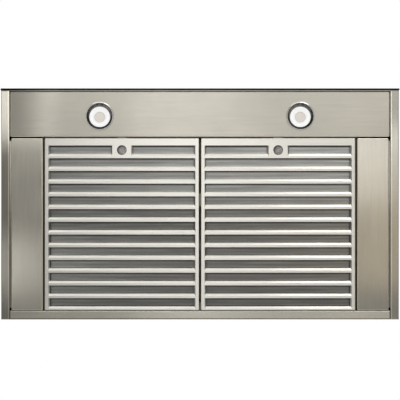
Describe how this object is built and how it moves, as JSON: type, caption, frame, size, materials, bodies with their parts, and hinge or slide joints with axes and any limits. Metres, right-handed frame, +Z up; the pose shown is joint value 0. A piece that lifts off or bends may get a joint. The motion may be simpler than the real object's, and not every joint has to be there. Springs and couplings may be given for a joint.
{
  "type": "wall-mounted chimney range hood",
  "caption": "Wall range hood: tapered steel canopy with black glass fascia, tilting baffle filters, round lamps, a centrifugal blower and a telescoping chimney.",
  "frame": {"origin": "middle of the canopy back sheet's lower edge, on the wall plane", "axes": "+X to the right along the hood's width, +Y into the wall, +Z up towards the duct"},
  "size_m": [0.915, 0.53, 0.6715],
  "materials": {
    "brushed_steel": "brushed, satin",
    "filter_steel": "satin",
    "bright_steel": "polished",
    "galvanised": "dull zinc",
    "black_glass": "polished",
    "lens_glass": "frosted",
    "reflector": "polished",
    "white_plastic": "moulded",
    "black_plastic": "moulded",
    "circuit_board": "solder mask",
    "spring_steel": "blued",
    "motor_paint": "satin",
    "capacitor_case": "smooth"
  },
  "bodies": {
    "root": {"cable_gland": "black_plastic", "canopy_back": "brushed_steel", "canopy_front": "brushed_steel", "canopy_left": "brushed_steel", "canopy_right": "brushed_steel", "canopy_top": "brushed_steel", "chimney_lower": "brushed_steel", "damper_rod": "bright_steel", "duct_collar": "black_plastic", "fascia_glass": "black_glass", "fixing_screws": "bright_steel", "junction_box": "black_plastic", "junction_cover": "black_plastic", "lamp_clips": "spring_steel", "lamp_left_bulb": "reflector", "lamp_left_lens": "lens_glass", "lamp_left_socket": "white_plastic", "lamp_left_trim": "bright_steel", "lamp_right_bulb": "reflector", "lamp_right_lens": "lens_glass", "lamp_right_socket": "white_plastic", "lamp_right_trim": "bright_steel", "light_panel": "brushed_steel", "motor_bearings": "bright_steel", "motor_box": "galvanised", "motor_bracket": "galvanised", "motor_housing": "motor_paint", "outlet_transition": "galvanised", "plenum_front_wall": "galvanised", "plenum_side_walls": "galvanised", "power_box": "black_plastic", "power_box_lid": "black_plastic", "rear_rail": "brushed_steel", "run_capacitor": "capacitor_case", "scroll_side_left": "galvanised", "scroll_side_right": "galvanised", "scroll_wrap": "galvanised", "side_panel_left": "brushed_steel", "side_panel_right": "brushed_steel", "touch_board": "circuit_board"},
    "filter_left": {"filter_left_face": "filter_steel", "filter_left_frame": "filter_steel", "filter_left_baffles": "filter_steel", "filter_left_guide": "galvanised", "filter_left_spring": "spring_steel"},
    "filter_right": {"filter_right_face": "filter_steel", "filter_right_frame": "filter_steel", "filter_right_baffles": "filter_steel", "filter_right_guide": "galvanised", "filter_right_spring": "spring_steel"},
    "latch_left": {"filter_left_latch": "filter_steel"},
    "latch_right": {"filter_right_latch": "filter_steel"},
    "impeller": {"impeller": "galvanised", "impeller_nut": "bright_steel", "motor_shaft": "bright_steel"},
    "damper_front": {"damper_flap_front": "black_plastic"},
    "damper_rear": {"damper_flap_rear": "black_plastic"},
    "upper_chimney": {"chimney_upper": "brushed_steel", "chimney_bracket": "galvanised", "bracket_screws": "bright_steel"}
  },
  "joints": [
    {"name": "filter_left_tilt", "type": "hinge", "parent": "root", "child": "filter_left", "pos_m": [-0.17945, -0.0175, 0.0045], "axis": [1, 0, 0], "range_deg": [0, 40]},
    {"name": "filter_right_tilt", "type": "hinge", "parent": "root", "child": "filter_right", "pos_m": [0.17945, -0.0175, 0.0045], "axis": [1, 0, 0], "range_deg": [0, 40]},
    {"name": "latch_left_slide", "type": "slide", "parent": "filter_left", "child": "latch_left", "axis": [0, 1, 0], "range_m": [0, 0.006], "stiffness_N_per_m": 500, "deforming": ["filter_left_spring"]},
    {"name": "latch_right_slide", "type": "slide", "parent": "filter_right", "child": "latch_right", "axis": [0, 1, 0], "range_m": [0, 0.006], "stiffness_N_per_m": 500, "deforming": ["filter_right_spring"]},
    {"name": "impeller_spin", "type": "hinge", "parent": "root", "child": "impeller", "pos_m": [0, -0.14, 0.3792], "axis": [1, 0, 0], "continuous": true},
    {"name": "damper_front_swing", "type": "hinge", "parent": "root", "child": "damper_front", "pos_m": [0, -0.175, 0.5802], "axis": [-1, 0, 0], "range_deg": [0, 75]},
    {"name": "damper_rear_swing", "type": "hinge", "parent": "root", "child": "damper_rear", "pos_m": [0, -0.175, 0.5802], "axis": [1, 0, 0], "range_deg": [0, 75]},
    {"name": "upper_chimney_slide", "type": "slide", "parent": "root", "child": "upper_chimney", "axis": [0, 0, 1], "range_m": [0, 0.33]}
  ]
}
